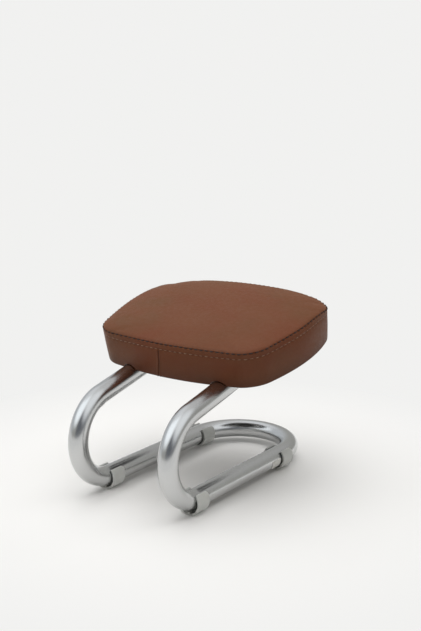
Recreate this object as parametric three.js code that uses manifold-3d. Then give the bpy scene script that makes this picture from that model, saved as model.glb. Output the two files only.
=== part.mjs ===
// Low kneeling seat: an upholstered cushion on one bent steel tube.
// Millimetres, +Z up. The origin lies on the floor under the middle of the frame.
// +Y is the back, where the tube closes in a loop, and -Y the front, where it bends up.
import * as THREE from 'three';
import { mergeVertices } from 'three/addons/utils/BufferGeometryUtils.js';
import Module from 'manifold-3d';

const wasm = await Module();
wasm.setup();

// Running clearance between pieces that touch, and how far a cutter runs past what it cuts
const fitGap = 0.3;
const overrun = 4;
// Points nearer than this are one point
const weldDistance = 0.0001;

// Frame tube
const tubeDiameter = 25.4;
const tubeWall = 1.5;
const frameWidth = 141;
const runnerLength = 198;
const bendRadius = 56.5;
const armLength = 226;
const seatTilt = THREE.MathUtils.degToRad(12.5);

// Clip-on feet
const footLength = 23;
const footInnerRadius = 14.4;
const footWall = 2.2;
const footDrop = 0.7;
const footFlatDepth = 0.5;
const footRibWidth = 5;
const footFrontCornerRadius = 2;
const footBackCornerRadius = 5;
const footLipAngle = THREE.MathUtils.degToRad(46);
// Where each foot sits, measured back from where the front bend starts
const frontRightFootPlace = -6;
const frontLeftFootPlace = 3;
const rearRightFootPlace = 190;
const rearLeftFootPlace = 206;

// Plugs in the ends of the arms
const plugHeadThickness = 3;
const plugDome = 1.5;
const plugSpigotLength = 14;
const plugSpigotClearance = 1;
const plugChamfer = 1.5;

// Blank sticker on the right runner
const labelLength = 20;
const labelThickness = 0.3;
const labelBackEdge = 177;
const labelTopAngle = THREE.MathUtils.degToRad(13);
const labelBottomAngle = THREE.MathUtils.degToRad(-45);

// Cushion, measured square to its own tilted base
const seatWidth = 290;
const seatDepth = 219;
const bandHeight = 48;
const crownHeight = 8;
const rollHeight = 1.6;
const rollInset = 1.6;
const rollMiddleInset = 0.4;
const longSideBow = 23;
const shortSideBow = 17;
const cornerRadius = 20;
const bandTopInset = 2;
const bandBottomInset = 3;
const bottomEdgeRadius = 3;
const seatAlongArm = 162;
const channelDepth = 6.5;
const channelClearance = 0.6;

// Cushion's layers
const coverThickness = 1.4;
const hemWidth = 22;
const boardThickness = 12;
const clothThickness = 0.8;
const clothInset = 17;

// Staples along the hem
const stapleCrown = 10;
const stapleWire = 0.7;
const stapleBite = 6;
const stapleInset = 21;
const staplesPerSide = 4;

// Bolts that hold the arms to the board
const boltDiameter = 6;
const boltHeadDiameter = 11;
const boltHeadFaceDiameter = 6;
const boltHeadHeight = 3.3;
const boltSocketWidth = 4;
const boltSocketDepth = 2;
const boltHoleClearance = 0.4;
const frontBoltPlace = -52;
const rearBoltPlace = 38;
const washerDiameter = 15;
const washerThickness = 1.2;
const teeNutFlangeDiameter = 19;
const teeNutFlangeThickness = 1.5;
const teeNutBarrelDiameter = 8.4;

// How finely round shapes are divided
const tubeSides = 24;
const boreSides = 12;
const bendSteps = 16;
const loopSteps = 18;
const cornerSteps = 4;
const sideSteps = 6;
const smallSides = 16;
const saddleSides = 48;
const hexSides = 6;
const lipSteps = 18;

// Sizes that follow from the ones above
const tubeRadius = tubeDiameter / 2;
const boreRadius = tubeRadius - tubeWall;
const loopRadius = frameWidth / 2;
const footOuterRadius = footInnerRadius + footWall;
const footCentreHeight = footOuterRadius - footFlatDepth;
const axisHeight = footCentreHeight + footDrop;
const frameFront = -(bendRadius + tubeRadius);
const frameBack = runnerLength + loopRadius + tubeRadius;
const runnerStart = -(frameFront + frameBack) / 2;
const bendSweep = Math.PI - seatTilt;
const armStartBack = runnerStart - bendRadius * Math.sin(bendSweep);
const armStartHeight = axisHeight + bendRadius * (1 - Math.cos(bendSweep));
const seatToAxis = tubeRadius - channelDepth;
const boardBottom = coverThickness + fitGap;
const boardTop = boardBottom + boardThickness;
const foamBottom = boardTop + fitGap;
const teeNutBarrelLength = foamBottom - channelDepth - channelClearance - fitGap;
const halfWidth = seatWidth / 2;
const halfDepth = seatDepth / 2;

// Finishes
const finishes = {
  tube: new THREE.MeshStandardMaterial({ color: 0xa9abac, roughness: 0.34, metalness: 0.9 }),
  foot: new THREE.MeshStandardMaterial({ color: 0xa3a5a6, roughness: 0.6, metalness: 0 }),
  plug: new THREE.MeshStandardMaterial({ color: 0x232425, roughness: 0.6, metalness: 0 }),
  label: new THREE.MeshStandardMaterial({ color: 0xe9e9e7, roughness: 0.5, metalness: 0 }),
  leather: new THREE.MeshStandardMaterial({ color: 0x6b4433, roughness: 0.48, metalness: 0 }),
  foam: new THREE.MeshStandardMaterial({ color: 0xd9cfa8, roughness: 0.9, metalness: 0 }),
  board: new THREE.MeshStandardMaterial({ color: 0xb08a5a, roughness: 0.8, metalness: 0 }),
  cloth: new THREE.MeshStandardMaterial({ color: 0x1d1d1f, roughness: 0.95, metalness: 0 }),
  zinc: new THREE.MeshStandardMaterial({ color: 0xb9bcc0, roughness: 0.35, metalness: 0.95 }),
};

const bench = new THREE.Group();
// Everything on the seat is placed in its own frame: the middle of the cushion's underside,
// with +Y along the arms towards the back and +Z square to the seat
const seat = new THREE.Group();
seat.rotation.x = seatTilt;
seat.position.set(
  0,
  armStartBack + seatAlongArm * Math.cos(seatTilt) - seatToAxis * Math.sin(seatTilt),
  armStartHeight + seatAlongArm * Math.sin(seatTilt) + seatToAxis * Math.cos(seatTilt),
);
bench.add(seat);

function addPiece(parent, name, shape, finish) {
  const geometry = shape.isBufferGeometry ? shape : toGeometry(shape);
  const mesh = new THREE.Mesh(geometry, finish.clone());
  mesh.name = name;
  parent.add(mesh);
}

// A closed geometry as a solid that can be joined and cut
function toSolid(geometry) {
  const plain = geometry.clone();
  plain.deleteAttribute('normal');
  plain.deleteAttribute('uv');
  const merged = mergeVertices(plain, weldDistance);
  return new wasm.Manifold(new wasm.Mesh({
    numProp: 3,
    vertProperties: new Float32Array(merged.attributes.position.array),
    triVerts: new Uint32Array(merged.index.array),
  }));
}

function toGeometry(solid) {
  const mesh = solid.getMesh();
  const geometry = new THREE.BufferGeometry();
  geometry.setAttribute('position', new THREE.BufferAttribute(mesh.vertProperties, 3));
  geometry.setIndex(new THREE.BufferAttribute(mesh.triVerts, 1));
  return geometry;
}

function box(width, depth, height, x, y, z) {
  return toSolid(new THREE.BoxGeometry(width, depth, height).translate(x, y, z));
}

// A round bar standing on the point x, y, z
function post(radius, height, x, y, z, sides = smallSides) {
  const bar = new THREE.CylinderGeometry(radius, radius, height, sides);
  bar.rotateX(Math.PI / 2);
  return toSolid(bar.translate(x, y, z + height / 2));
}

// A solid through rings of points that all have the same count, closed at both ends
function ringSolid(rings) {
  const count = rings[0].length;
  const vertices = rings.flat();
  const triangles = [];
  for (let level = 0; level < rings.length - 1; level += 1) {
    for (let i = 0; i < count; i += 1) {
      const a = level * count + i;
      const b = level * count + (i + 1) % count;
      triangles.push(a, b, b + count, a, b + count, a + count);
    }
  }
  const middle = (ring) => ring.reduce((sum, point) => sum.add(point), new THREE.Vector3())
    .divideScalar(count);
  const last = (rings.length - 1) * count;
  vertices.push(middle(rings[0]), middle(rings[rings.length - 1]));
  for (let i = 0; i < count; i += 1) {
    const next = (i + 1) % count;
    triangles.push(vertices.length - 2, next, i);
    triangles.push(vertices.length - 1, last + i, last + next);
  }
  const geometry = new THREE.BufferGeometry().setFromPoints(vertices);
  geometry.setIndex(triangles);
  return toSolid(geometry);
}

// A route through stations that each hold a point and the direction of travel there
class StationRoute extends THREE.Curve {
  constructor(stations) {
    super();
    this.stations = stations;
  }

  stationAt(t) {
    return this.stations[Math.round(t * (this.stations.length - 1))];
  }

  getPoint(t, target = new THREE.Vector3()) {
    return target.copy(this.stationAt(t).point);
  }

  getTangent(t, target = new THREE.Vector3()) {
    return target.copy(this.stationAt(t).along);
  }

  getUtoTmapping(u) {
    return u;
  }
}

// The tube's middle line on one side: its arm from the end forward, its bend and its runner
function sideStations(side) {
  const x = side * frameWidth / 2;
  const armDirection = new THREE.Vector3(0, Math.cos(seatTilt), Math.sin(seatTilt));
  const armStart = new THREE.Vector3(x, armStartBack, armStartHeight);
  const stations = [{
    point: armStart.clone().addScaledVector(armDirection, armLength),
    along: armDirection.clone().negate(),
  }];
  for (let step = 0; step <= bendSteps; step += 1) {
    const turn = bendSweep * (1 - step / bendSteps);
    stations.push({
      point: new THREE.Vector3(
        x,
        runnerStart - bendRadius * Math.sin(turn),
        axisHeight + bendRadius * (1 - Math.cos(turn)),
      ),
      along: new THREE.Vector3(0, Math.cos(turn), -Math.sin(turn)),
    });
  }
  return stations;
}

// The whole middle line: left arm, left runner, the loop at the back and the right side again
function tubeRoute() {
  const left = sideStations(-1);
  const right = sideStations(1).reverse().map(({ point, along }) => ({
    point,
    along: along.clone().negate(),
  }));
  const loop = [];
  for (let step = 0; step <= loopSteps; step += 1) {
    const turn = Math.PI * step / loopSteps;
    loop.push({
      point: new THREE.Vector3(
        -loopRadius * Math.cos(turn),
        runnerStart + runnerLength + loopRadius * Math.sin(turn),
        axisHeight,
      ),
      along: new THREE.Vector3(Math.sin(turn), Math.cos(turn), 0),
    });
  }
  return new StationRoute([...left, ...loop, ...right]);
}

// A round bar along the route
function barAlong(route, radius, sides) {
  const section = new THREE.Shape().absarc(0, 0, radius, 0, 2 * Math.PI);
  return toSolid(new THREE.ExtrudeGeometry(section, {
    extrudePath: route,
    steps: route.stations.length - 1,
    curveSegments: sides / 2,
  }));
}

// The places of the bolts, in the seat's frame
const boltPlaces = [-1, 1].flatMap((side) => [frontBoltPlace, rearBoltPlace]
  .map((along) => ({ x: side * frameWidth / 2, y: along })));

// What is made in the seat's frame, turned and moved into the bench's frame
function fromSeat(solid) {
  seat.updateMatrix();
  return toSolid(toGeometry(solid).applyMatrix4(seat.matrix));
}

function makeTube() {
  const route = tubeRoute();
  const wall = barAlong(route, tubeRadius, tubeSides);
  const bore = barAlong(lengthened(route), boreRadius, boreSides);
  const holeHeight = tubeDiameter + 2 * overrun;
  const holes = boltPlaces.map(({ x, y }) => fromSeat(post(
    boltDiameter / 2 + boltHoleClearance, holeHeight, x, y, -seatToAxis - holeHeight / 2, boreSides)));
  return holes.reduce((tube, hole) => tube.subtract(hole), wall.subtract(bore));
}

// The same route with both ends run on, so that the bore opens both ends
function lengthened(route) {
  const stations = route.stations.map(({ point, along }) => ({ point: point.clone(), along }));
  stations[0].point.addScaledVector(stations[0].along, -overrun);
  const end = stations[stations.length - 1];
  end.point.addScaledVector(end.along, overrun);
  return new StationRoute(stations);
}

// A plug for an arm's open end, turned about the arm's axis
function makePlug(side) {
  const spigotRadius = boreRadius - plugSpigotClearance;
  const profile = [
    new THREE.Vector2(0, -plugSpigotLength),
    new THREE.Vector2(spigotRadius - plugChamfer, -plugSpigotLength),
    new THREE.Vector2(spigotRadius, -plugSpigotLength + plugChamfer),
    new THREE.Vector2(spigotRadius, fitGap),
    new THREE.Vector2(tubeRadius, fitGap),
    new THREE.Vector2(tubeRadius, fitGap + plugHeadThickness - plugDome),
    new THREE.Vector2(tubeRadius - plugDome, fitGap + plugHeadThickness - plugDome / 2),
    new THREE.Vector2(0, fitGap + plugHeadThickness),
  ];
  const plug = new THREE.LatheGeometry(profile, smallSides);
  const armEnd = armLength - seatAlongArm;
  return plug.translate(0, armEnd, 0).translate(side * frameWidth / 2, 0, -seatToAxis);
}

// A clip's section, from lip to lip round the underside of the tube, with a rib to seat the tube
function footSection() {
  const start = footLipAngle;
  const sweep = Math.PI + 2 * footLipAngle;
  const at = (radius, share) => new THREE.Vector2(
    radius * Math.cos(start - sweep * share), radius * Math.sin(start - sweep * share));
  const outer = [];
  const inner = [];
  for (let step = 0; step <= lipSteps; step += 1) {
    outer.push(at(footOuterRadius, step / lipSteps));
    inner.push(at(footInnerRadius, step / lipSteps));
  }
  return new THREE.Shape([...outer, ...inner.reverse()]);
}

function makeFoot() {
  // drawn upright in x and y, then stood along the runner
  const clip = new THREE.ExtrudeGeometry(footSection(), { depth: footLength, bevelEnabled: false });
  clip.translate(0, 0, -footLength / 2).rotateX(Math.PI / 2).translate(0, 0, footCentreHeight);
  const ribTop = axisHeight - tubeRadius - fitGap;
  const rib = box(footRibWidth, footLength, ribTop, 0, 0, ribTop / 2);
  const tread = box(2 * footOuterRadius, footLength + overrun, footOuterRadius,
    0, 0, -footOuterRadius / 2);
  return toSolid(clip).add(rib).subtract(tread).intersect(footTongue());
}

// Seen from the side a clip is a plate with rounded upper corners
function footTongue() {
  const top = footCentreHeight + footOuterRadius * Math.sin(footLipAngle);
  const half = footLength / 2;
  const outline = new THREE.Shape();
  outline.moveTo(-half, -overrun);
  outline.lineTo(half, -overrun);
  // the outline's end on the right becomes the back of the clip
  [[1, footBackCornerRadius], [-1, footFrontCornerRadius]].forEach(([end, radius], index) => {
    const start = index * Math.PI / 2;
    outline.absarc(end * (half - radius), top - radius, radius, start, start + Math.PI / 2);
  });
  const plate = new THREE.ExtrudeGeometry(outline, {
    depth: 2 * footOuterRadius + overrun,
    bevelEnabled: false,
    curveSegments: cornerSteps,
  });
  plate.translate(0, 0, -footOuterRadius - overrun / 2);
  // the outline's x runs along the runner and its y stands up
  plate.rotateX(Math.PI / 2).rotateZ(Math.PI / 2);
  return toSolid(plate);
}

// The room that the tube needs inside the clips, also where it rises into the front bend
const tubeRoom = barAlong(tubeRoute(), tubeRadius + fitGap, tubeSides);

// Puts a foot on the tube at its place, turned with the loop if it sits on it
function addFoot(name, side, place) {
  const pastRunner = Math.max(0, place - runnerLength);
  const turn = pastRunner / loopRadius;
  const holder = new THREE.Group();
  holder.position.set(
    side * loopRadius * Math.cos(turn),
    runnerStart + Math.min(place, runnerLength) + loopRadius * Math.sin(turn),
    0,
  );
  holder.rotation.z = side * turn;
  holder.updateMatrix();
  bench.add(holder);
  const room = toGeometry(tubeRoom).applyMatrix4(holder.matrix.clone().invert());
  addPiece(holder, name, makeFoot().subtract(toSolid(room)), finishes.foot);
}

// A thin patch that follows the outer side of the right runner
function makeLabel() {
  const inner = tubeRadius + fitGap;
  const outline = new THREE.Shape();
  outline.absarc(0, 0, inner + labelThickness, labelBottomAngle, labelTopAngle);
  outline.absarc(0, 0, inner, labelTopAngle, labelBottomAngle, true);
  const patch = new THREE.ExtrudeGeometry(outline, {
    depth: labelLength,
    bevelEnabled: false,
    curveSegments: cornerSteps,
  });
  patch.rotateX(Math.PI / 2);
  return patch.translate(frameWidth / 2, runnerStart + labelBackEdge, axisHeight);
}

// The cushion's outline drawn in by inset: a rounded rectangle whose sides bow out
function seatOutline(inset) {
  const cornerX = halfWidth - shortSideBow - inset;
  const cornerY = halfDepth - longSideBow - inset;
  const points = [];
  const corners = [[1, -1], [1, 1], [-1, 1], [-1, -1]];
  corners.forEach(([signX, signY], index) => {
    const startAngle = (index - 1) * Math.PI / 2;
    const centre = new THREE.Vector2(signX * (cornerX - cornerRadius), signY * (cornerY - cornerRadius));
    for (let step = 0; step <= cornerSteps; step += 1) {
      const angle = startAngle + step / cornerSteps * Math.PI / 2;
      points.push(new THREE.Vector2(Math.cos(angle), Math.sin(angle))
        .multiplyScalar(cornerRadius).add(centre));
    }
    const [nextX, nextY] = corners[(index + 1) % corners.length];
    const nextAngle = startAngle + Math.PI / 2;
    const next = new THREE.Vector2(nextX * (cornerX - cornerRadius), nextY * (cornerY - cornerRadius))
      .add(new THREE.Vector2(Math.cos(nextAngle), Math.sin(nextAngle)).multiplyScalar(cornerRadius));
    const from = points[points.length - 1];
    for (let step = 1; step < sideSteps; step += 1) {
      points.push(from.clone().lerp(next, step / sideSteps));
    }
  });
  // each side bows out most in its middle and by nothing at its corners
  return points.map(({ x, y }) => new THREE.Vector2(
    x * (1 + shortSideBow / cornerX * (1 - (y / cornerY) ** 2)),
    y * (1 + longSideBow / cornerY * (1 - (x / cornerX) ** 2)),
  ));
}

const levelRing = (outline, height, share = 1) => outline
  .map(({ x, y }) => new THREE.Vector3(x * share, y * share, height));

// How far the cushion's side lies inside its widest outline, at a height up the band
function bandInset(height) {
  const up = 2 * height / bandHeight - 1;
  const bulge = (up > 0 ? bandTopInset : bandBottomInset) * up ** 2;
  const below = Math.max(0, bottomEdgeRadius - height);
  return bulge + bottomEdgeRadius - Math.sqrt(bottomEdgeRadius ** 2 - below ** 2);
}

// The cushion's form, everywhere the given depth under its skin
const edgeLevelShare = 0.33;
const bandLevelShares = [0.2, 0.5, 0.8];
const crownShares = [0.96, 0.88, 0.74, 0.55, 0.3];
const crownPower = 3;
function cushionForm(depth) {
  const wall = (height) => levelRing(seatOutline(bandInset(height) + depth), height);
  const rings = [wall(depth)];
  if (depth < bottomEdgeRadius) {
    rings.push(wall(THREE.MathUtils.lerp(depth, bottomEdgeRadius, edgeLevelShare)));
    rings.push(wall(bottomEdgeRadius));
  }
  bandLevelShares.forEach((share) => rings.push(wall(share * bandHeight)));
  rings.push(wall(bandHeight - depth));
  // the panel rolls in over the seam and then rises to the crown
  const rollMiddle = seatOutline(bandTopInset + rollMiddleInset + depth);
  const panel = seatOutline(bandTopInset + rollInset + depth);
  const rollTop = bandHeight + rollHeight - depth;
  rings.push(levelRing(rollMiddle, rollTop - rollHeight / 2), levelRing(panel, rollTop));
  crownShares.forEach((share) => rings.push(
    levelRing(panel, rollTop + (crownHeight - rollHeight) * (1 - share ** crownPower), share)));
  return ringSolid(rings);
}

// A flat plate with the cushion's outline
const seatPlate = (inset, bottom, thickness) => ringSolid([
  levelRing(seatOutline(inset), bottom),
  levelRing(seatOutline(inset), bottom + thickness),
]);

// What clears the arms, cut from the underside of the seat
function clearArms(solid) {
  const length = halfDepth + overrun + armLength - seatAlongArm + plugHeadThickness + overrun;
  return [-1, 1].reduce((left, side) => {
    const bar = new THREE.CylinderGeometry(
      tubeRadius + channelClearance, tubeRadius + channelClearance, length, tubeSides);
    bar.translate(side * frameWidth / 2, length / 2 - halfDepth - overrun, -seatToAxis);
    return left.subtract(toSolid(bar));
  }, solid);
}

// The places of the staples along the hem, each with the direction of its crown.
// On the long sides they keep to the stretch between the arms.
function staplePlaces() {
  const cornerX = halfWidth - shortSideBow - stapleInset;
  const cornerY = halfDepth - longSideBow - stapleInset;
  const longReach = frameWidth / 2 - tubeRadius - channelClearance - stapleCrown;
  const shortReach = cornerY - cornerRadius;
  const places = [];
  for (let i = 0; i < staplesPerSide; i += 1) {
    const share = 2 * i / (staplesPerSide - 1) - 1;
    const x = share * longReach;
    const y = share * shortReach;
    const longSide = new THREE.Vector2(x, cornerY + longSideBow * (1 - (x / cornerX) ** 2));
    const shortSide = new THREE.Vector2(cornerX + shortSideBow * (1 - (y / cornerY) ** 2), y);
    const longLean = -2 * longSideBow * x / cornerX ** 2;
    const shortLean = -2 * shortSideBow * y / cornerY ** 2;
    [-1, 1].forEach((sign) => {
      places.push({
        middle: new THREE.Vector2(longSide.x, sign * longSide.y),
        angle: sign * Math.atan(longLean),
      });
      places.push({
        middle: new THREE.Vector2(sign * shortSide.x, shortSide.y),
        angle: Math.PI / 2 - sign * Math.atan(shortLean),
      });
    });
  }
  return places;
}

// One staple, or with clearance the pit that holds it, legs upwards
function stapleShape({ middle, angle }, clearance) {
  const wire = stapleWire + 2 * clearance;
  const crownTop = -clothThickness - 2 * fitGap;
  const legTop = boardBottom + stapleBite + clearance;
  const parts = [-1, 1].map((side) => box(wire, wire, legTop - crownTop + stapleWire,
    side * (stapleCrown - stapleWire) / 2, 0, (legTop + crownTop - stapleWire) / 2));
  const crown = box(stapleCrown, stapleWire, stapleWire, 0, 0, crownTop - stapleWire / 2);
  const solid = clearance > 0 ? parts[0].add(parts[1]) : parts[0].add(parts[1]).add(crown);
  return solid.rotate([0, 0, THREE.MathUtils.radToDeg(angle)]).translate([middle.x, middle.y, 0]);
}

const unite = (solids) => solids.reduce((whole, solid) => whole.add(solid));

function makeBolt({ x, y }) {
  const headTop = -seatToAxis - tubeRadius - fitGap - washerThickness - fitGap;
  const shaftTop = boardTop + teeNutFlangeThickness;
  const head = new THREE.CylinderGeometry(
    boltHeadDiameter / 2, boltHeadFaceDiameter / 2, boltHeadHeight, smallSides);
  head.rotateX(Math.PI / 2).translate(x, y, headTop - boltHeadHeight / 2);
  const socket = post(boltSocketWidth / Math.sqrt(3), boltSocketDepth + overrun,
    x, y, headTop - boltHeadHeight - overrun, hexSides);
  const shaft = post(boltDiameter / 2, shaftTop - headTop + boltHeadHeight / 2,
    x, y, headTop - boltHeadHeight / 2, boreSides);
  return toSolid(head).add(shaft).subtract(socket);
}

// A washer hollowed on top to sit on the tube
function makeWasher({ x, y }) {
  const bottom = -seatToAxis - tubeRadius - fitGap - washerThickness;
  const rise = tubeRadius - Math.sqrt(tubeRadius ** 2 - (washerDiameter / 2) ** 2);
  const disc = post(washerDiameter / 2, washerThickness + rise, x, y, bottom);
  const bar = new THREE.CylinderGeometry(
    tubeRadius + fitGap, tubeRadius + fitGap, washerDiameter + overrun, saddleSides);
  bar.translate(x, y, -seatToAxis);
  const hole = post(boltDiameter / 2 + boltHoleClearance, washerDiameter,
    x, y, bottom - overrun, boreSides);
  return disc.subtract(toSolid(bar)).subtract(hole);
}

// A tee nut let into the top of the board
function makeTeeNut({ x, y }) {
  const flange = post(teeNutFlangeDiameter / 2, teeNutFlangeThickness, x, y, foamBottom);
  const barrel = post(teeNutBarrelDiameter / 2, teeNutBarrelLength + teeNutFlangeThickness,
    x, y, foamBottom - teeNutBarrelLength);
  const bore = post(boltDiameter / 2 + fitGap, teeNutBarrelLength + 2 * overrun,
    x, y, foamBottom - teeNutBarrelLength - overrun);
  return flange.add(barrel).subtract(bore);
}

const pits = unite(staplePlaces().map((place) => stapleShape(place, fitGap)));

function makeBoard() {
  const inset = bandBottomInset + bottomEdgeRadius + coverThickness + fitGap;
  const holes = unite(boltPlaces.map(({ x, y }) => post(
    teeNutBarrelDiameter / 2 + fitGap, boardThickness + 2 * overrun, x, y, boardBottom - overrun)));
  return clearArms(seatPlate(inset, boardBottom, boardThickness)).subtract(holes).subtract(pits);
}

function makeFoam() {
  const pockets = unite(boltPlaces.map(({ x, y }) => post(
    teeNutFlangeDiameter / 2 + fitGap, teeNutFlangeThickness + 2 * fitGap + overrun,
    x, y, foamBottom - overrun)));
  const wide = seatWidth + 2 * overrun;
  const tall = bandHeight + crownHeight;
  const aboveBoard = box(wide, wide, tall, 0, 0, foamBottom + tall / 2);
  return cushionForm(coverThickness + fitGap).intersect(aboveBoard).subtract(pockets);
}

// The cover is a skin of even thickness, parted at its seam into a top panel and a side band
function makeCover() {
  const skin = cushionForm(0).subtract(cushionForm(coverThickness));
  const open = skin.subtract(seatPlate(hemWidth, -overrun, coverThickness + 2 * overrun));
  const seam = bandHeight - fitGap / 2;
  const wide = seatWidth + 2 * overrun;
  const above = box(wide, wide, bandHeight, 0, 0, seam + fitGap + bandHeight / 2);
  const below = box(wide, wide, seam + overrun, 0, 0, (seam - overrun) / 2);
  return {
    panel: open.intersect(above),
    band: clearArms(open.intersect(below)).subtract(pits),
  };
}

function makeCloth() {
  const cloth = seatPlate(clothInset, -fitGap - clothThickness, clothThickness);
  return clearArms(cloth).subtract(pits);
}

addPiece(bench, 'frame_tube', makeTube(), finishes.tube);
addFoot('front_right_foot', 1, frontRightFootPlace);
addFoot('front_left_foot', -1, frontLeftFootPlace);
addFoot('rear_right_foot', 1, rearRightFootPlace);
addFoot('rear_left_foot', -1, rearLeftFootPlace);
addPiece(bench, 'blank_label', makeLabel(), finishes.label);

addPiece(seat, 'right_arm_plug', makePlug(1), finishes.plug);
addPiece(seat, 'left_arm_plug', makePlug(-1), finishes.plug);
addPiece(seat, 'seat_board', makeBoard(), finishes.board);
addPiece(seat, 'foam_pad', makeFoam(), finishes.foam);
const cover = makeCover();
addPiece(seat, 'cover_top_panel', cover.panel, finishes.leather);
addPiece(seat, 'cover_side_band', cover.band, finishes.leather);
addPiece(seat, 'underside_cloth', makeCloth(), finishes.cloth);
staplePlaces().forEach((place, i) => addPiece(
  seat, `hem_staple_${String(i + 1).padStart(2, '0')}`, stapleShape(place, 0), finishes.zinc));
boltPlaces.forEach((place) => {
  const where = `${place.y < 0 ? 'front' : 'rear'}_${place.x > 0 ? 'right' : 'left'}`;
  addPiece(seat, `${where}_seat_bolt`, makeBolt(place), finishes.zinc);
  addPiece(seat, `${where}_saddle_washer`, makeWasher(place), finishes.zinc);
  addPiece(seat, `${where}_tee_nut`, makeTeeNut(place), finishes.zinc);
});

export default bench;
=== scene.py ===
import bpy
import bmesh
import math
from mathutils import Matrix, Vector, noise
from mathutils.kdtree import KDTree


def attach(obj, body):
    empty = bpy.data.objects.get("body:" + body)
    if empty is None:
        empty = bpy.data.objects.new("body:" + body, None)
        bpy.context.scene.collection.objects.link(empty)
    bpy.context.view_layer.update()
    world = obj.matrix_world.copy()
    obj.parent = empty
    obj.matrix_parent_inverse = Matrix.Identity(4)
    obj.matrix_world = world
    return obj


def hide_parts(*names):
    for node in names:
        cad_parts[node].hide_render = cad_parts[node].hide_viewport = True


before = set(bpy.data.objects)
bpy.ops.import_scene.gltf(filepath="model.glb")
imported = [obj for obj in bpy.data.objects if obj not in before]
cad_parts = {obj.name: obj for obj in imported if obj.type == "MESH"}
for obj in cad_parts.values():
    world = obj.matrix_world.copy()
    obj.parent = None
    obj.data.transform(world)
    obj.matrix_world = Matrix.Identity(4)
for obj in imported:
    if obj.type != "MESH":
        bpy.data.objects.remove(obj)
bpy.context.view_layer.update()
for name in ("Cube", "Light", "Camera"):
    if name in bpy.data.objects:
        bpy.data.objects.remove(bpy.data.objects[name])

# sizes that the whole bench shares, in metres, as the solids have them
tubeRadius = 0.0127
tubeWall = 0.0015
halfFrame = 0.141 / 2
runnerLength = 0.198
bendRadius = 0.0565
armLength = 0.226
tilt = math.radians(12.5)
axisHeight = 0.0168
runnerStart = -0.106
seatAlongArm = 0.162
armAxisDrop = 0.0062
gap = 0.0003
mergeAt = 0.00001
bendSweep = math.pi - tilt
armDirection = Vector((0, math.cos(tilt), math.sin(tilt)))
seatUp = Vector((0, -math.sin(tilt), math.cos(tilt)))
bendCentreHeight = axisHeight + bendRadius
armStart = Vector((0, runnerStart - bendRadius * math.sin(bendSweep),
                   bendCentreHeight - bendRadius * math.cos(bendSweep)))
loopCentre = Vector((0, runnerStart + runnerLength, axisHeight))
# the seat's own frame: middle of the cushion's underside, y back along the arms, z square to it
seatOrigin = armStart + armDirection * seatAlongArm + seatUp * armAxisDrop
seatMatrix = Matrix.Translation(seatOrigin) @ Matrix.Rotation(tilt, 4, "X")
armEnd = armLength - seatAlongArm


# small helpers

def clearSelection():
    if bpy.context.object and bpy.context.object.mode != "OBJECT":
        bpy.ops.object.mode_set(mode="OBJECT")
    bpy.ops.object.select_all(action="DESELECT")


def pick(piece):
    clearSelection()
    piece.select_set(True)
    bpy.context.view_layer.objects.active = piece


def editAll(piece):
    pick(piece)
    bpy.ops.object.mode_set(mode="EDIT")
    bpy.ops.mesh.select_all(action="SELECT")


def selectWhere(piece, kind, test):
    # kind is verts or faces; test gets each one
    bpy.ops.mesh.select_mode(type={"verts": "VERT", "faces": "FACE"}[kind])
    bpy.ops.mesh.select_all(action="DESELECT")
    mesh = bmesh.from_edit_mesh(piece.data)
    for part in getattr(mesh, kind):
        if test(part):
            part.select_set(True)
    mesh.select_flush_mode()
    bmesh.update_edit_mesh(piece.data)


def extrudeBy(vector):
    bpy.ops.mesh.extrude_region_move(TRANSFORM_OT_translate={"value": tuple(vector)})


def addModifier(piece, kind, **values):
    modifier = piece.modifiers.new(kind.title(), kind)
    for key, value in values.items():
        setattr(modifier, key, value)
    pick(piece)
    bpy.ops.object.modifier_apply(modifier=modifier.name)


def bevelEdges(piece, width, segments, degrees):
    addModifier(piece, "BEVEL", width=width, segments=segments, limit_method="ANGLE",
                angle_limit=math.radians(degrees))


def cutWith(piece, cutter):
    addModifier(piece, "BOOLEAN", object=cutter, operation="DIFFERENCE", solver="EXACT")
    bpy.data.objects.remove(cutter)


def fixNormals(piece):
    editAll(piece)
    bpy.ops.mesh.remove_doubles(threshold=mergeAt)
    bpy.ops.mesh.normals_make_consistent(inside=False)
    bpy.ops.object.mode_set(mode="OBJECT")


# puts the piece's place into its mesh and its object at the origin
def settle(piece, matrix=None):
    if matrix is not None:
        piece.matrix_world = matrix @ piece.matrix_world
    pick(piece)
    bpy.ops.object.transform_apply(location=True, rotation=True, scale=True)


def smoothShade(piece, degrees):
    pick(piece)
    bpy.ops.object.shade_smooth_by_angle(angle=math.radians(degrees))


def dress(piece, material):
    piece.data.materials.clear()
    piece.data.materials.append(material)


def finishPiece(piece, name, material, slotName, *nodes):
    piece.name = name
    piece.data.name = name
    dress(piece, material)
    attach(piece, "root")
    if nodes:
        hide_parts(*nodes)


def addObject(name, data):
    piece = bpy.data.objects.new(name, data)
    bpy.context.scene.collection.objects.link(piece)
    return piece


def addMesh(name, mesh):
    data = bpy.data.meshes.new(name)
    mesh.to_mesh(data)
    mesh.free()
    return addObject(name, data)


def duplicate(piece):
    copy = piece.copy()
    copy.data = piece.data.copy()
    bpy.context.scene.collection.objects.link(copy)
    return copy


def aimAt(piece, target):
    piece.rotation_euler = (Vector(target) - piece.location).to_track_quat("-Z", "Y").to_euler()


def barCutter(radius, length, sides, place, alongY=False):
    clearSelection()
    bpy.ops.mesh.primitive_cylinder_add(
        vertices=sides, radius=radius, depth=length, location=place,
        rotation=(math.pi / 2, 0, 0) if alongY else (0, 0, 0))
    return bpy.context.object


# a circle, open for shaping in edit mode
def startCircle(**values):
    clearSelection()
    bpy.ops.mesh.primitive_circle_add(**values)
    piece = bpy.context.object
    settle(piece)
    editAll(piece)
    return piece


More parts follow.
